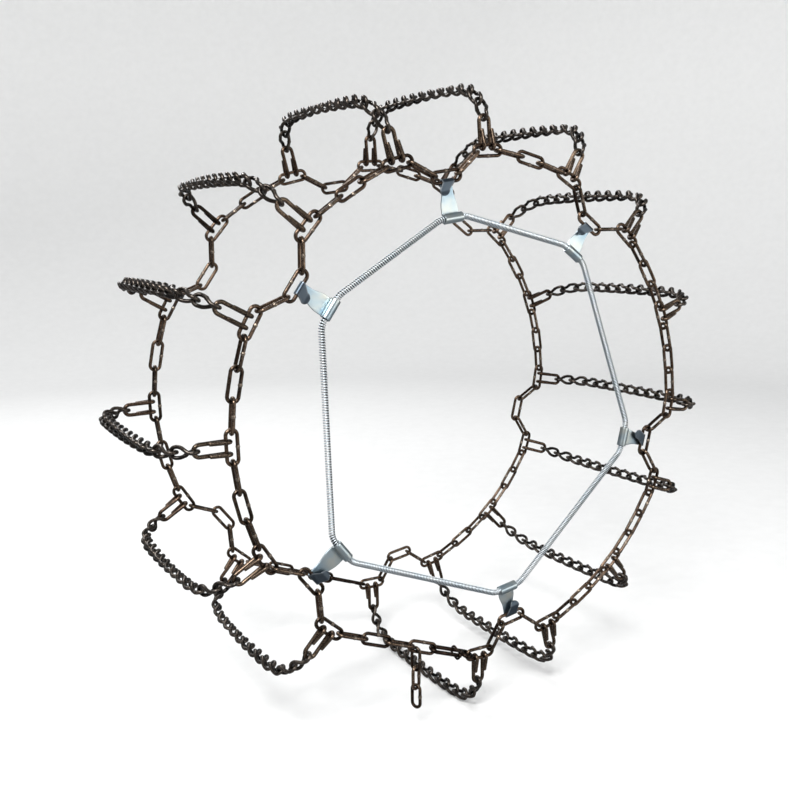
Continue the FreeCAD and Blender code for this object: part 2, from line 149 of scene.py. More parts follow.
def loose_parts(node):
    """The separate solids of a CAD node, each as points and triangles."""
    mesh = frame["nodes"][node].data
    mesh.calc_loop_triangles()
    points = np.array([v.co for v in mesh.vertices])
    triangles = np.array([t.vertices for t in mesh.loop_triangles])
    points, index = np.unique(points.round(7), axis=0, return_inverse=True)
    triangles = index.reshape(-1)[triangles]
    label = np.arange(len(points))
    while True:
        lowest = label[triangles].min(axis=1)
        grown = label.copy()
        for corner in range(3):
            np.minimum.at(grown, triangles[:, corner], lowest)
        grown = grown[grown]
        if np.array_equal(grown, label):
            break
        label = grown
    owner = label[triangles[:, 0]]
    return [(points, triangles[owner == part]) for part in np.unique(owner)]


def surface_spread(points, triangles):
    """Centre of a surface by area, and how its area spreads about that centre."""
    corners = points[triangles]
    area = np.linalg.norm(np.cross(corners[:, 1] - corners[:, 0], corners[:, 2] - corners[:, 0]), axis=1)
    middle = corners.mean(axis=1)
    centre = (middle * area[:, None]).sum(axis=0) / area.sum()
    offset = middle - centre
    return centre, (offset * area[:, None]).T @ offset


def own_axes(spread):
    """Long, middle and short axes as rows, right-handed."""
    axes = np.linalg.eigh(spread)[1][:, ::-1].T
    if np.linalg.det(axes) < 0:
        axes[2] *= -1
    return axes


def seen_from(points, triangles, centre, axes):
    return (points[np.unique(triangles)] - centre) @ axes.T


def centred(points, triangles, centre, axes):
    """The centre moved to the middle of the solid's extents along its own axes."""
    local = seen_from(points, triangles, centre, axes)
    return centre + (local.min(axis=0) + local.max(axis=0)) / 2 @ axes


def flat_link_frame(points, triangles, length):
    """Centre and axes of an oval link: X along it, and Y towards the bar with the weld."""
    centre, spread = surface_spread(points, triangles)
    axes = own_axes(spread)
    centre = centred(points, triangles, centre, axes)
    local = seen_from(points, triangles, centre, axes)
    bends = local[np.abs(local[:, 0]) > length / 4]
    shift = (bends[:, 1].min() + bends[:, 1].max()) / 2
    if shift > 0:
        axes = axes * np.array([[-1], [-1], [1]])
    return centre + axes[1] * abs(shift) * -1, axes


def twisted_link_frame(points, triangles):
    centre, spread = surface_spread(points, triangles)
    axes = own_axes(spread)
    return centred(points, triangles, centre, axes), axes


def wheel_plane_frame(points, triangles, side):
    """Axes of a cross hook, which lies in a side chain's plane: Y away from the axle, Z away from the tyre.

    The origin is the middle of its width, at its end nearest the axle, at its face nearest the tyre.
    """
    centre, spread = surface_spread(points, triangles)
    long_way = np.linalg.eigh(spread[np.ix_([0, 2], [0, 2])])[1][:, 1]
    out = np.array([long_way[0], 0.0, long_way[1]])
    if out @ centre < 0:
        out = -out
    face = AXLE * side
    axes = np.array([np.cross(out, face), out, face])
    local = seen_from(points, triangles, centre, axes)
    low = local.min(axis=0)
    middle = (low[0] + local[:, 0].max()) / 2
    return centre + np.array([middle, low[1], low[2]]) @ axes, axes


def eye_frame(node):
    """The middle of a tensioner hook's spring eye, its axes and the reach to its fold.

    X runs clockwise round the wheel, Y away from the axle and Z out of the tyre. Z = 0 is the side
    chain's plane.
    """
    points, triangles = loose_parts(node)[0]
    points = points[np.unique(triangles)]
    middle = points.mean(axis=0)
    for _ in range(3):
        out = unit(middle * (1.0, 0.0, 1.0))
        axes = np.array([np.cross(out, -AXLE), out, -AXLE])
        local = points @ axes.T
        low = local.min(axis=0)
        eye = local[local[:, 1] < low[1] + 2 * EYE_OUTER_RADIUS]
        middle = (eye.min(axis=0) + eye.max(axis=0)) / 2 @ axes
    back = STRIP_BEND + STRIP_THICKNESS / 2
    origin = np.array([0.0, low[1] + EYE_OUTER_RADIUS, low[2] + back])
    return origin @ axes, axes, local[:, 1].max() - back - origin[1]


# ---- Mesh building -----------------------------------------------------------------------------


class Build:
    """Gathers vertices, quads and point attributes of the solids that make one piece."""

    def __init__(self):
        self.points = []
        self.faces = []
        self.attributes = {"tint": [], "wear_and_painted_shade_mask": [], "heat_stain_and_painted_light": [], "strip": []}
        self.count = 0

    def add(self, points, faces, tint=0.5, wear_and_painted_shade_mask=0.0, heat_stain_and_painted_light=0.0, strip=(0.0, 0.0, 0.0)):
        size = len(points)
        self.points.append(points)
        self.faces += [tuple(int(i) + self.count for i in face) for face in faces]
        self.attributes["tint"].append(np.broadcast_to(tint, size))
        self.attributes["wear_and_painted_shade_mask"].append(np.broadcast_to(wear_and_painted_shade_mask, size))
        self.attributes["heat_stain_and_painted_light"].append(np.broadcast_to(heat_stain_and_painted_light, size))
        self.attributes["strip"].append(np.broadcast_to(strip, (size, 3)))
        self.count += size

    def finish(self, name, material):
        mesh = bpy.data.meshes.new(name)
        mesh.from_pydata(np.concatenate(self.points).tolist(), [], self.faces)
        for key, values in self.attributes.items():
            flat = np.concatenate(values).astype(np.float32)
            kind = "FLOAT_VECTOR" if flat.ndim == 2 else "FLOAT"
            layer = mesh.attributes.new(key, kind, "POINT")
            layer.data.foreach_set("vector" if flat.ndim == 2 else "value", flat.ravel())
        mesh.polygons.foreach_set("use_smooth", [True] * len(mesh.polygons))
        mesh.materials.append(material)
        mesh.update()
        piece = bpy.data.objects.new(name, mesh)
        bpy.context.scene.collection.objects.link(piece)
        return piece


def travelled(path):
    return np.concatenate([[0.0], np.cumsum(np.linalg.norm(np.diff(path, axis=0), axis=1))])


def evenly(path, step):
    """The path again, with points about one step apart."""
    along = travelled(path)
    count = max(3, int(round(along[-1] / step)) + 1)
    where = np.linspace(0.0, along[-1], count)
    return np.stack([np.interp(where, along, path[:, i]) for i in range(3)], axis=1)


def carried_normals(path, closed):
    """Unit tangents, and normals that turn as little as possible along the path."""
    if closed:
        ahead = np.roll(path, -1, axis=0) - np.roll(path, 1, axis=0)
    else:
        ahead = np.gradient(path, axis=0)
    ahead = ahead / np.linalg.norm(ahead, axis=1)[:, None]
    helper = np.eye(3)[np.argmin(np.abs(ahead[0]))]
    normals = [unit(np.cross(ahead[0], helper))]
    for direction in ahead[1:]:
        last = normals[-1]
        normals.append(unit(last - direction * (last @ direction)))
    normals = np.array(normals)
    if closed:
        last = unit(normals[-1] - ahead[0] * (normals[-1] @ ahead[0]))
        side = np.cross(ahead[0], normals[0])
        slip = math.atan2(last @ side, last @ normals[0])
        turn = -slip * np.arange(len(path)) / len(path)
        across = np.cross(ahead, normals)
        normals = normals * np.cos(turn)[:, None] + across * np.sin(turn)[:, None]
    return ahead, normals


def wire(path, radius, sides, closed):
    """Points and quads of a wire swept along a path. radius holds one value for each ring and side."""
    ahead, normals = carried_normals(path, closed)
    across = np.cross(ahead, normals)
    angle = np.arange(sides) * 2 * math.pi / sides
    radius = np.broadcast_to(radius, (len(path), sides))
    ring = normals[:, None] * np.cos(angle)[None, :, None] + across[:, None] * np.sin(angle)[None, :, None]
    points = (path[:, None] + ring * radius[:, :, None]).reshape(-1, 3)
    return points, lattice(len(path), sides, closed)


def lattice(rings, sides, closed):
    faces = []
    for i in range(rings if closed else rings - 1):
        here = i * sides
        there = (i + 1) % rings * sides
        for j in range(sides):
            k = (j + 1) % sides
            faces.append((here + j, here + k, there + k, there + j))
    if not closed:
        faces.append(tuple(range(sides))[::-1])
        faces.append(tuple(range((rings - 1) * sides, rings * sides)))
    return faces


def smooth_step(value):
    value = np.clip(value, 0.0, 1.0)
    return value * value * (3 - 2 * value)


def bead(distance, half_length, edge):
    """1 inside a weld of the given half length, falling to 0 over the edge."""
    return smooth_step((half_length + edge - np.abs(distance)) / edge)


def arc(centre, along, up, radius, start, stop, count=24):
    angle = np.radians(np.linspace(start, stop, count))
    centre, along, up = (np.array(v, float) for v in (centre, along, up))
    return centre + radius * (np.cos(angle)[:, None] * along + np.sin(angle)[:, None] * up)


# ---- Link shapes, each in its own frame --------------------------------------------------------

WIRE_STEP = 1.0 * MM
WIRE_SIDES = 14

# Weld beads: half length along the wire, and height
SIDE_WELD = (1.2 * MM, 0.35 * MM)
CROSS_WELD = (1.3 * MM, 0.3 * MM)
X, Y, Z = np.eye(3)


def oval_path(length, width, wire_size):
    bend = (width - wire_size) / 2
    half = (length - width) / 2
    right = arc((half, 0, 0), X, Y, bend, -90, 90)
    left = arc((-half, 0, 0), X, Y, bend, 90, 270)
    return evenly(np.concatenate([right, left, right[:1]]), WIRE_STEP)[:-1]


def twisted_path(length):
    bend = (CROSS_WIDTH - CROSS_WIRE) / 2
    half = (length - CROSS_WIDTH) / 2
    turn = math.radians(CROSS_TWIST / 2)

    def end(sign):
        flat = Y * math.cos(turn) + Z * sign * math.sin(turn)
        return arc((sign * half, 0, 0), X * sign, flat, bend, -90, 90)

    def bar(start, stop, side):
        lead = X * half * CROSS_BAR_LEAD * np.sign(start[0])
        poles = [start, start - lead, Y * side * bend * CROSS_BAR_BULGE, stop + lead, stop]
        t = np.linspace(0, 1, 24)[:, None]
        return sum(
            math.comb(4, k) * t**k * (1 - t) ** (4 - k) * pole for k, pole in enumerate(poles)
        )

    right, left = end(1), end(-1)
    upper = bar(right[-1], left[-1], 1)
    lower = bar(left[0], right[0], -1)
    loop = np.concatenate([right, upper[1:], left[::-1][1:], lower[1:]])
    return evenly(loop, WIRE_STEP * 1.1)[:-1]


def worn(centre_out, normals, across, sides):
    """How exposed each point of a ring is: 1 on the side that faces away from the link's middle."""
    angle = np.arange(sides) * 2 * math.pi / sides
    ring = normals[:, None] * np.cos(angle)[None, :, None] + across[:, None] * np.sin(angle)[None, :, None]
    return np.clip((ring * centre_out[:, None]).sum(axis=2), 0, 1)


def link_solid(path, wire_size, weld_at, weld_size):
    """A link with its weld bead, a slightly uneven wire and wear on its outer side."""
    reach = np.linalg.norm(path - weld_at, axis=1)
    weld = bead(reach, weld_size[0], 0.7 * MM)
    ridge = bead(reach, weld_size[0] * 0.25, 0.5 * MM)
    phase = chance.uniform(0, 2 * math.pi, 3)
    along = np.arange(len(path)) / len(path) * 2 * math.pi
    angle = np.arange(WIRE_SIDES) * 2 * math.pi / WIRE_SIDES
    uneven = 0.008 * np.sin(2 * along + phase[0]) + 0.006 * np.sin(5 * along + phase[1])
    lump = 0.25 * np.sin(2 * angle + phase[2])
    growth = weld[:, None] * weld_size[1] * (0.8 + lump[None]) + ridge[:, None] * 0.25 * MM
    radius = wire_size / 2 * (1 + uneven[:, None]) + growth
    points, faces = wire(path, radius, WIRE_SIDES, True)
    ahead, normals = carried_normals(path, True)
    outward = path / np.maximum(np.linalg.norm(path, axis=1), 1e-6)[:, None]
    wear_and_painted_shade_mask = worn(outward, normals, np.cross(ahead, normals), WIRE_SIDES)
    heat = bead(reach, 2.0 * MM, 9.0 * MM)
    return points, faces, wear_and_painted_shade_mask.ravel(), np.repeat(heat, WIRE_SIDES)


def in_place(points, centre, axes):
    return centre + points @ axes


def add_oval_link(build, points, triangles, size):
    length, width, wire_size = size
    centre, axes = flat_link_frame(points, triangles, length)
    weld_at = Y * (width - wire_size) / 2
    path = oval_path(length, width, wire_size)
    solid, faces, wear_and_painted_shade_mask, heat = link_solid(path, wire_size, weld_at, SIDE_WELD)
    build.add(in_place(solid, centre, axes), faces, chance.uniform(), wear_and_painted_shade_mask, heat)


def add_cross_link(build, points, triangles):
    centre, axes = twisted_link_frame(points, triangles)
    local = seen_from(points, triangles, centre, axes)
    path = twisted_path(local[:, 0].max() - local[:, 0].min())
    upper = path[:, 1] > 0
    weld_at = path[upper][np.argmin(np.abs(path[upper, 0]))]
    solid, faces, wear_and_painted_shade_mask, heat = link_solid(path, CROSS_WIRE, weld_at, CROSS_WELD)
    build.add(in_place(solid, centre, axes), faces, chance.uniform(), wear_and_painted_shade_mask, heat)


def hook_path():
    """Centre line of a two-legged hook. Y = 0 is its end nearest the axle, Z = 0 its back face."""
    back = HOOK_WIRE / 2
    bar = HOOK_WIRE / 2 + HOOK_CURL
    last = math.radians(90 - HOOK_CLOSING_ANGLE)
    crown = HOOK_LENGTH - HOOK_WIRE / 2 - HOOK_LEG_SPREAD

    def leg(x):
        curl = arc((x, bar, back + HOOK_CURL), -Y, Z, HOOK_CURL, 90 + HOOK_CLOSING_ANGLE, -90, 30)
        heading = Y * math.sin(last) - Z * math.cos(last)
        return np.concatenate([[curl[0] + heading * HOOK_TIP_LENGTH], curl, [[x, crown, back]]])

    left = leg(-HOOK_LEG_SPREAD)
    right = leg(HOOK_LEG_SPREAD)
    bend = arc((0, crown, back), X, Y, HOOK_LEG_SPREAD, 180, 0)
    return evenly(np.concatenate([left, bend[1:-1], right[::-1]]), WIRE_STEP)


def cut_end(path, size, ends):
    """Ring radii that round off the two cut ends of a wire over a short chamfer."""
    along = travelled(path)
    near = np.minimum(along, along[-1] - along)
    return size / 2 * np.sqrt(1 - (1 - np.clip(near / ends, 0, 1)) ** 2 * 0.55)


def capped(path, extra):
    """The path with a few more points close to each end, for the chamfer."""
    along = travelled(path)
    near = np.array([0.0, 0.15, 0.4, 0.8]) * extra
    between = along[(along > extra) & (along < along[-1] - extra)]
    where = np.concatenate([near, between, along[-1] - near[::-1]])
    return np.stack([np.interp(where, along, path[:, i]) for i in range(3)], axis=1)


def add_cross_hook(build, points, triangles, side):
    origin, axes = wheel_plane_frame(points, triangles, side)
    path = capped(hook_path(), WIRE_CHAMFER)
    phase = chance.uniform(0, 2 * math.pi, 2)
    along = travelled(path) / travelled(path)[-1] * 2 * math.pi
    uneven = 1 + 0.012 * np.sin(3 * along + phase[0]) + 0.008 * np.sin(7 * along + phase[1])
    radius = (cut_end(path, HOOK_WIRE, WIRE_CHAMFER) * uneven)[:, None]
    solid, faces = wire(path, radius, WIRE_SIDES, False)
    ahead, normals = carried_normals(path, False)
    front = np.broadcast_to(Z, path.shape)
    wear_and_painted_shade_mask = worn(front, normals, np.cross(ahead, normals), WIRE_SIDES)
    build.add(in_place(solid, origin, axes), faces, chance.uniform(), wear_and_painted_shade_mask.ravel(), 0.0)


# ---- Tensioner ---------------------------------------------------------------------------------


def body_half_widths(along, reach):
    """Half width of the flat sheet at distances from the eye: wide, then narrowing to the neck."""
    shoulder = BODY_HALF_WIDTH - STRIP_HALF_WIDTH
    narrowing = smooth_step((along / reach - 0.3) / 0.42)
    lip = (EYE_HALF_LENGTH - BODY_HALF_WIDTH) * (1 - smooth_step(along / (2.0 * MM)))
    return BODY_HALF_WIDTH - shoulder * narrowing + lip


def tab_line(reach):
    """Centre line and half widths of the tab in front of the bar, which leans and ends round.

    It dips towards the body only past the part that the bar meets as the hook slides.
    """
    straight = TAB_LENGTH - TAB_RADIUS
    around = TAB_RADIUS * np.sin(np.radians(np.linspace(0, 88, 18)))
    down = np.concatenate([np.linspace(0, straight, 12)[1:], straight + around[1:]])
    share = np.minimum(down / straight, 1)
    past = np.maximum(down - straight, 0)
    widths = STRIP_HALF_WIDTH + (np.sqrt(TAB_RADIUS**2 - past**2) - STRIP_HALF_WIDTH) * share
    dip = TAB_DIP * smooth_step((down - TAB_FLAT) / (TAB_LENGTH - TAB_FLAT))
    line = np.column_stack([-TAB_LEAN * share, reach - down, STRIP_BEND - dip])
    return line, widths


def strip_line(reach):
    """Centre line of the bent sheet from the eye's free edge to the tab's end, and its half widths.

    Y = 0 is the spring's centre line and Z = 0 the side chain's plane.
    """
    roll = arc((0, 0, EYE_HEIGHT), Y, Z, EYE_BEND, -450 + EYE_GAP_ANGLE, -90, 60)
    body = np.linspace((0, 0, -STRIP_BEND), (0, reach, -STRIP_BEND), 60)[1:-1]
    fold = arc((0, reach, 0), Y, Z, STRIP_BEND, -90, 90, 24)
    tab, tab_widths = tab_line(reach)
    widths = np.concatenate([
        np.full(len(roll), EYE_HALF_LENGTH),
        body_half_widths(body[:, 1], reach),
        np.full(len(fold), STRIP_HALF_WIDTH),
        tab_widths,
    ])
    return np.concatenate([roll, body, fold, tab]), widths


def strip_section(half_width, count=10):
    """A thin rounded rectangle, as offsets across the strip and through its thickness."""
    edge = STRIP_EDGE_RADIUS
    flat = np.linspace(-1, 1, count)
    half = STRIP_THICKNESS / 2
    inner = max(half_width - edge, half_width * 0.2)
    corner = np.radians([18, 36, 54, 72])
    top = [(inner * f, half) for f in flat]
    right = [(inner + edge * math.sin(a), half - edge + edge * math.cos(a)) for a in corner]
    right += [(inner + edge, 0.0)]
    right += [(inner + edge * math.cos(a), -half + edge - edge * math.sin(a)) for a in corner]
    bottom = [(inner * f, -half) for f in flat[::-1]]
    left = [(-x, -z) for x, z in right]
    return np.array(top + right + bottom + left)


def add_strip(build, origin, axes, reach):
    line, widths = strip_line(reach)
    normals = np.cross(np.gradient(line, axis=0), X)
    rings = []
    strip = []
    for here, normal, width, distance in zip(line, normals, widths, travelled(line)):
        section = strip_section(width)
        rings.append(here + section[:, :1] * X + section[:, 1:] * unit(normal))
        strip.append(np.column_stack([section[:, 0], np.full(len(section), distance), section[:, 1]]))
    sides = len(rings[0])
    sheet = np.concatenate(strip)
    wear_and_painted_shade_mask = np.clip(np.abs(sheet[:, 0]) / np.repeat(widths, sides) * 6 - 5.2, 0, 1)
    faces = lattice(len(rings), sides, False)
    solid = np.concatenate(rings)
    # Mask for painted light on the sheet: a painted blue reflection rising towards the fold, and painted
    # shade on the tab
    before_fold = smooth_step((solid[:, 1] / reach - 0.35) / 0.5)
    on_tab = smooth_step((solid[:, 2] / STRIP_BEND + 1) / 2) * (solid[:, 1] > reach / 2)
    heat_stain_and_painted_light = np.maximum(before_fold * FOLD_PAINTED_REFLECTION, on_tab)
    build.add(in_place(solid, origin, axes), faces, chance.uniform(), wear_and_painted_shade_mask, heat_stain_and_painted_light, sheet)


def spring_leg(start, stop):
    """Centre line of the spring from the middle of one eye to the middle of the next."""
    (eye_a, axes_a, _), (eye_b, axes_b, _) = start, stop
    a = eye_a + axes_a[2] * EYE_HEIGHT
    b = eye_b + axes_b[2] * EYE_HEIGHT
    heading_a = unit(axes_a[0] * np.sign((b - a) @ axes_a[0]))
    heading_b = unit(axes_b[0] * np.sign((a - b) @ axes_b[0]))
    half_turn = math.acos(np.clip(heading_a @ -heading_b, -1, 1)) / 2

    def bent(eye, heading, axes):
        mouth = eye + heading * (EYE_HALF_LENGTH + SPRING_END_GAP)
        turn = np.linspace(0, half_turn, 12)[:, None]
        curve = mouth + SPRING_BEND_RADIUS * (np.sin(turn) * heading - (1 - np.cos(turn)) * axes[1])
        return np.concatenate([[eye], curve])

    return np.concatenate([bent(a, heading_a, axes_a), bent(b, heading_b, axes_b)[::-1]])


def coil(centre_line, pitch):
    """The spring's wire wound round a centre line, and its direction away from that line."""
    line = evenly(centre_line, pitch / SPRING_SIDES)
    ahead, normals = carried_normals(line, False)
    across = np.cross(ahead, normals)
    along = travelled(line)
    turns = round(along[-1] / pitch)
    steps = turns * SPRING_STEPS + 1
    where = np.linspace(0, along[-1], steps)
    angle = np.linspace(0, turns * 2 * math.pi, steps)

    def sampled(values):
        return np.stack([np.interp(where, along, values[:, i]) for i in range(3)], axis=1)

    out = sampled(normals) * np.cos(angle)[:, None] + sampled(across) * np.sin(angle)[:, None]
    return sampled(line) + out * (SPRING_OUTER_RADIUS - SPRING_WIRE / 2), out


# ---- Materials ---------------------------------------------------------------------------------


class Shader:
    """A node material that is put together by short calls."""

    def __init__(self, name):
        self.material = bpy.data.materials.new(name)
        self.material.use_nodes = True
        self.tree = self.material.node_tree
        self.surface = self.tree.nodes["Principled BSDF"]
        self.place = self.node("ShaderNodeTexCoord").outputs["Object"]

    def node(self, kind, settings=None, inputs=None):
        made = self.tree.nodes.new(kind)
        for key, value in (settings or {}).items():
            setattr(made, key, value)
        for key, value in (inputs or {}).items():
            self.feed(made.inputs[key], value)
        return made

    def feed(self, socket, value):
        if isinstance(value, bpy.types.NodeSocket):
            self.tree.links.new(value, socket)
        else:
            socket.default_value = value

    def attribute(self, name, output="Fac"):
        return self.node("ShaderNodeAttribute", {"attribute_name": name}).outputs[output]

    def noise(self, scale, detail=3.0, roughness=0.55, vector=None):
        inputs = {"Scale": scale, "Detail": detail, "Roughness": roughness, "Vector": vector or self.place}
        return self.node("ShaderNodeTexNoise", None, inputs).outputs["Fac"]

    def calc(self, operation, first, second=0.0):
        settings = {"operation": operation, "use_clamp": False}
        return self.node("ShaderNodeMath", settings, {0: first, 1: second}).outputs[0]

    def span(self, value, low, high, to_low=0.0, to_high=1.0):
        inputs = {"Value": value, "From Min": low, "From Max": high, "To Min": to_low, "To Max": to_high}
        return self.node("ShaderNodeMapRange", None, inputs).outputs["Result"]

    def ramp(self, value, stops):
        made = self.node("ShaderNodeValToRGB", None, {"Fac": value})
        elements = made.color_ramp.elements
        while len(elements) < len(stops):
            elements.new(0.5)
        for element, (position, colour) in zip(elements, stops):
            element.position = position
            element.color = (*colour, 1.0)
        return made.outputs["Color"]

    def mix(self, share, first, second):
        made = self.node("ShaderNodeMix", {"data_type": "RGBA"}, {0: share})
        for socket, value in ((made.inputs[6], first), (made.inputs[7], second)):
            if isinstance(value, tuple):
                socket.default_value = (*value, 1.0)
            else:
                self.feed(socket, value)
        return made.outputs[2]

    def stretched(self, vector, scale):
        return self.node("ShaderNodeVectorMath", {"operation": "MULTIPLY"}, {0: vector, 1: scale}).outputs[0]

    def bump(self, height, distance, strength=1.0, below=None):
        inputs = {"Height": height, "Distance": distance, "Strength": strength}
        if below is not None:
            inputs["Normal"] = below
        return self.node("ShaderNodeBump", None, inputs).outputs["Normal"]

    def set(self, **values):
        for key, value in values.items():
            socket = self.surface.inputs[key.replace("_", " ").title().replace("Ior", "IOR")]
            if isinstance(value, tuple):
                socket.default_value = (*value, 1.0)
            else:
                self.feed(socket, value)


def heat_tinted_steel():
    """Hardened side chain steel: brown-black oxide, tan where it rubs, a bare point at the weld."""
    s = Shader("heat_tinted_steel")
    patches = s.noise(130.0, 4.0)
    speckle = s.noise(1100.0, 3.0, 0.65)
    shade = s.calc("ADD", s.calc("MULTIPLY", s.attribute("tint"), 0.34), s.calc("MULTIPLY", patches, 0.8))
    oxide = s.ramp(shade, [
        (0.25, (0.012, 0.009, 0.007)),
        (0.45, (0.034, 0.022, 0.016)),
        (0.62, (0.080, 0.052, 0.036)),
        (0.82, (0.170, 0.115, 0.080)),
    ])
    heat = s.attribute("heat_stain_and_painted_light")
    rubbed = s.calc("MULTIPLY", s.attribute("wear_and_painted_shade_mask"), s.span(speckle, 0.38, 0.62))
    worn_oxide = s.mix(s.calc("MULTIPLY", rubbed, 0.34), oxide, (0.56, 0.43, 0.31))
    darkened = s.mix(s.calc("MULTIPLY", heat, 0.25), worn_oxide, (0.070, 0.066, 0.070))
    nub = s.span(heat, 0.992, 1.0)
    colour = s.mix(s.calc("MULTIPLY", nub, 0.5), darkened, (0.45, 0.37, 0.29))
    fine = s.bump(speckle, 0.00006, 0.5)
    s.set(base_color=colour, metallic=0.95, roughness=s.span(speckle, 0.3, 0.7, 0.18, 0.36))
    s.set(normal=s.bump(patches, 0.0003, 0.35, fine))
    return s.material


def dark_chain_steel():
    """Case-hardened cross chain steel: near black, oily, with brown-grey wear on the high sides."""
    s = Shader("dark_chain_steel")
    patches = s.noise(150.0, 4.0)
    speckle = s.noise(1300.0, 3.0, 0.65)
    shade = s.calc("ADD", s.calc("MULTIPLY", s.attribute("tint"), 0.3), s.calc("MULTIPLY", patches, 0.8))
    skin = s.ramp(shade, [
        (0.28, (0.009, 0.008, 0.007)),
        (0.50, (0.022, 0.018, 0.015)),
        (0.72, (0.052, 0.041, 0.033)),
        (0.90, (0.100, 0.078, 0.061)),
    ])
    rubbed = s.calc("MULTIPLY", s.attribute("wear_and_painted_shade_mask"), s.span(speckle, 0.42, 0.66))
    colour = s.mix(s.calc("MULTIPLY", rubbed, 0.55), skin, (0.36, 0.30, 0.25))
    fine = s.bump(speckle, 0.00007, 0.6)
    s.set(base_color=colour, metallic=0.9, roughness=s.span(speckle, 0.3, 0.7, 0.20, 0.40))
    s.set(coat_weight=0.2, coat_roughness=0.22, normal=s.bump(patches, 0.0004, 0.4, fine))
    return s.material


def zinc_sheet():
    """Bright zinc plate on bent sheet, with a painted blue reflection towards the fold, painted shade on the
    tab, and paler at its edges.
    """
    s = Shader("zinc_sheet")
    strip = s.attribute("strip", "Vector")
    drawn = s.noise(1.0, 3.0, 0.5, s.stretched(strip, (1500.0, 90.0, 400.0)))
    cloud = s.noise(45.0, 2.0)
    plate = s.ramp(cloud, [
        (0.30, (0.34, 0.45, 0.52)),
        (0.48, (0.46, 0.54, 0.57)),
        (0.70, (0.56, 0.58, 0.54)),
    ])
    heat_stain_and_painted_light = s.attribute("heat_stain_and_painted_light")
    # Painted reflection: the sheet is coloured blue before the fold, where it bends
    with_painted_reflection = s.mix(s.span(heat_stain_and_painted_light, 0.0, FOLD_PAINTED_REFLECTION, 0.0, 0.7), plate, (0.24, 0.36, 0.46))
    # Painted shade: the tab is coloured dark blue-black; on the chain steel this attribute holds the real
    # heat stain at the weld
    darkened = s.mix(s.span(heat_stain_and_painted_light, FOLD_PAINTED_REFLECTION, 1.0, 0.0, 0.92), with_painted_reflection, (0.045, 0.055, 0.070))
    colour = s.mix(s.calc("MULTIPLY", s.attribute("wear_and_painted_shade_mask"), 0.3), darkened, (0.72, 0.75, 0.76))
    streaks = s.bump(drawn, 0.00003, 0.35)
    s.set(base_color=colour, metallic=1.0, roughness=s.span(drawn, 0.3, 0.7, 0.30, 0.42))
    s.set(normal=s.bump(cloud, 0.0008, 0.3, streaks))
    return s.material


def spring_wire():
    """Zinc plated spring wire, bright on the outside of its turns, with painted shade that makes it grey
    between them.
    """
    s = Shader("spring_wire")
    cloud = s.noise(60.0, 3.0)
    marks = s.noise(2400.0, 2.0)
    plate = s.ramp(cloud, [(0.3, (0.78, 0.88, 0.95)), (0.6, (0.90, 0.95, 0.97)), (0.8, (0.97, 0.98, 0.96))])
    # Painted shade: where the wire faces the spring's middle, between the turns, it is coloured near black
    outside = s.span(s.attribute("wear_and_painted_shade_mask"), 0.22, 0.66)
    s.set(base_color=s.mix(outside, (0.045, 0.052, 0.060), plate), metallic=1.0)
    s.set(roughness=s.span(marks, 0.3, 0.7, 0.36, 0.50), normal=s.bump(marks, 0.00003, 0.4))
    return s.material


def paper_floor():
    """Pale paper. Reflections see it darker, as dark screens outside the picture would make it."""
    s = Shader("pale_floor")
    grain = s.noise(30.0, 4.0)
    paper = s.ramp(grain, [(0.3, (0.86, 0.86, 0.855)), (0.7, (0.89, 0.89, 0.885))])
    mirrored = s.node("ShaderNodeLightPath").outputs["Is Glossy Ray"]
    s.set(base_color=s.mix(mirrored, paper, (0.20, 0.205, 0.215)), roughness=0.85, metallic=0.0)
    return s.material


# ---- Pieces ------------------------------------------------------------------------------------

CHAIN_STEEL = heat_tinted_steel()
DARK_STEEL = dark_chain_steel()
ZINC = zinc_sheet()
SPRING = spring_wire()


def stand_in(piece, node):
    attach(piece, NODE_BODY[node])
    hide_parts(node)


def build_links(node, size):
    build = Build()
    for points, triangles in loose_parts(node):
        add_oval_link(build, points, triangles, size)
    stand_in(build.finish(node + "_steel", CHAIN_STEEL), node)


def build_cross_chain(node):
    build = Build()
    for points, triangles in loose_parts(node):
        add_cross_link(build, points, triangles)
    stand_in(build.finish(node + "_steel", DARK_STEEL), node)


def build_cross_hooks(node, side):
    build = Build()
    for points, triangles in loose_parts(node):
        add_cross_hook(build, points, triangles, side)
    stand_in(build.finish(node + "_steel", CHAIN_STEEL), node)


def build_tensioner():
    hooks = len(SPRING_PITCHES)
    frames = [eye_frame(f"tensioner_hook_{number}") for number in range(1, hooks + 1)]
    for number, (eye, axes, reach) in enumerate(frames, 1):
        node = f"tensioner_hook_{number}"
        build = Build()
        add_strip(build, eye, axes, reach)
        stand_in(build.finish(node + "_sheet", ZINC), node)
    for number, pitch in enumerate(SPRING_PITCHES, 1):
        following = number % hooks + 1
        line = spring_leg(frames[number - 1], frames[following - 1])
        path, out = coil(line, pitch)
        middle = len(path) // 2
        centre = (line[len(line) // 2 - 1] + line[len(line) // 2]) / 2
        halves = (("start", slice(0, middle + 1), number), ("end", slice(middle, None), following))
        for label, part, hook in halves:
            name = f"tensioner_spring_{number}_{label}"
            build_spring_half(name, path[part], out[part], centre, hook, frames[hook - 1][0])


def build_spring_half(name, path, out, centre, hook, eye):
    """Half a leg of the spring. It stretches as the hook at its end slides."""
    points, faces = wire(path, SPRING_WIRE / 2, SPRING_SIDES, False)
    ahead, normals = carried_normals(path, False)
    # outer is 1 where the wire faces away from the spring's middle; the spring's material paints shade where
    # it is low
    outer = worn(out, normals, np.cross(ahead, normals), SPRING_SIDES)
    build = Build()
    build.add(points, faces, 0.5, outer.ravel())
    piece = build.finish(name, SPRING)
    mouth = eye + 0.15 * (centre - eye)
    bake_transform(piece, "net", f"tensioner_hook_{hook}", start=Vector(centre), end=Vector(mouth))
    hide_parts(name[: name.rindex("_")])


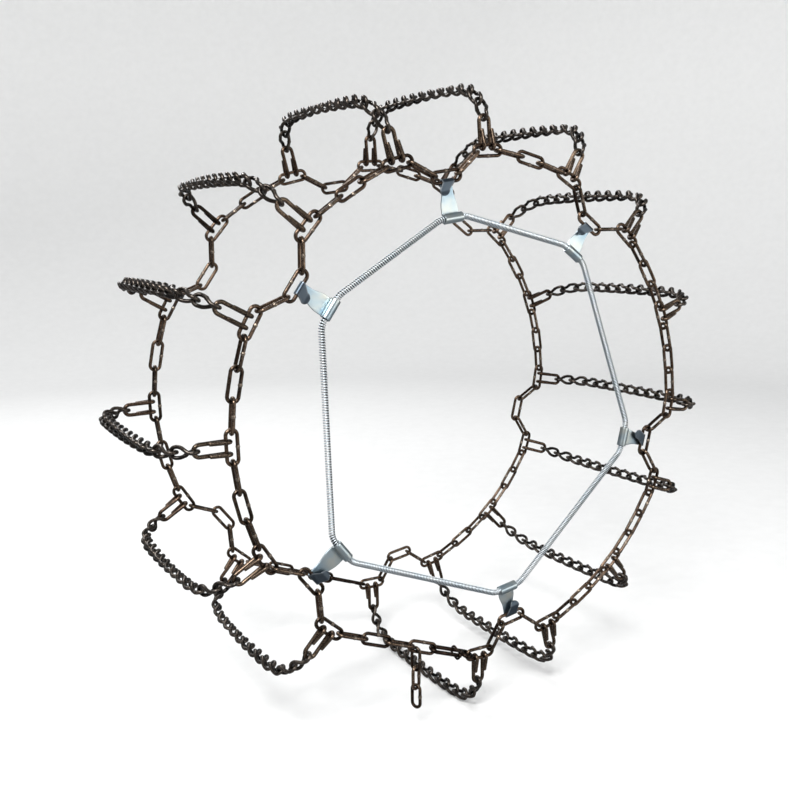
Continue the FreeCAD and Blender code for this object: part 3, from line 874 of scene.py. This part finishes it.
def build_fasteners():
    """The fasteners keep their CAD shapes and get the side chain's steel."""
    for node in ("outer_fastener_hook", "inner_fastener_hook", "fastener_keeper"):
        for slot in frame["nodes"][node].material_slots:
            slot.material = CHAIN_STEEL


for node in sorted(frame["nodes"]):
    if node.startswith("cross_chain"):
        build_cross_chain(node)
    elif node.endswith("cross_hooks"):
        build_cross_hooks(node, OUTER if node.startswith("outer") else INNER)
    elif node.startswith("tail_link"):
        build_links(node, TAIL_LINK)
    elif "_links" in node:
        build_links(node, SIDE_LINK)
build_tensioner()
build_fasteners()


# ---- Stage, light and camera -------------------------------------------------------------------

STAGE_RADIUS = 5.0
STAGE_CORNER = 1.6
STAGE_HEIGHT = 5.0


def make_stage():
    """A round pale floor that curves up into a wall on every side."""
    ground = float(cad_box[0][2]) - 0.5 * MM
    corner = np.radians(np.linspace(-90, 0, 24))[1:]
    rise = [(r, ground) for r in np.linspace(0.001, STAGE_RADIUS - STAGE_CORNER, 8)]
    rise += [
        (STAGE_RADIUS - STAGE_CORNER + STAGE_CORNER * math.cos(a), ground + STAGE_CORNER * (1 + math.sin(a)))
        for a in corner
    ]
    rise.append((STAGE_RADIUS, ground + STAGE_HEIGHT))
    sides = 96
    turn = np.arange(sides) * 2 * math.pi / sides
    points = [(r * math.cos(a), r * math.sin(a), z) for r, z in rise for a in turn]
    faces = lattice(len(rise), sides, False)[:-2]
    mesh = bpy.data.meshes.new("stage")
    mesh.from_pydata(points, [], faces)
    mesh.polygons.foreach_set("use_smooth", [True] * len(mesh.polygons))
    mesh.materials.append(paper_floor())
    stage = bpy.data.objects.new("stage", mesh)
    bpy.context.scene.collection.objects.link(stage)


def soft_light(name, place, size, power, colour=(1.0, 1.0, 1.0)):
    light = bpy.data.lights.new(name, "AREA")
    light.shape = "RECTANGLE"
    light.size, light.size_y = size
    light.energy = power
    light.color = colour
    lamp = bpy.data.objects.new(name, light)
    lamp.location = place
    lamp.rotation_euler = (-Vector(place)).to_track_quat("-Z", "Y").to_euler()
    lamp.visible_camera = False
    bpy.context.scene.collection.objects.link(lamp)


def make_world():
    world = bpy.data.worlds.new("studio")
    world.use_nodes = True
    background = world.node_tree.nodes["Background"]
    background.inputs["Color"].default_value = (0.93, 0.96, 1.0, 1.0)
    background.inputs["Strength"].default_value = 0.35
    bpy.context.scene.world = world


# The camera looks down a little from the outer side, turned towards the net's left.
CAMERA_TURN = math.radians(-31.47)
CAMERA_RISE = math.radians(9.64)
CAMERA_DISTANCE = 1.4195
CAMERA_LENS = 45.69
CAMERA_SHIFT = (-0.0806, 0.0157)
LOOK_AT = Vector((0.0, -0.116, 0.0))


def make_camera():
    data = bpy.data.cameras.new("camera")
    data.lens = CAMERA_LENS
    data.sensor_width = 36.0
    data.shift_x, data.shift_y = CAMERA_SHIFT
    data.clip_end = 50.0
    camera = bpy.data.objects.new("camera", data)
    flat = math.cos(CAMERA_RISE)
    back = Vector((math.sin(CAMERA_TURN) * flat, -math.cos(CAMERA_TURN) * flat, math.sin(CAMERA_RISE)))
    camera.location = LOOK_AT + back * CAMERA_DISTANCE
    camera.rotation_euler = back.to_track_quat("Z", "Y").to_euler()
    bpy.context.scene.collection.objects.link(camera)
    bpy.context.scene.camera = camera


make_stage()
make_world()
soft_light("key", (-2.0, -2.4, 2.6), (1.5, 0.9), 150.0)
soft_light("fill", (1.7, -2.7, 0.1), (2.4, 1.6), 30.0, (1.0, 0.98, 0.94))
soft_light("back", (-0.6, 2.6, 2.4), (2.2, 0.8), 60.0)
make_camera()
bpy.context.scene.view_settings.view_transform = "Standard"
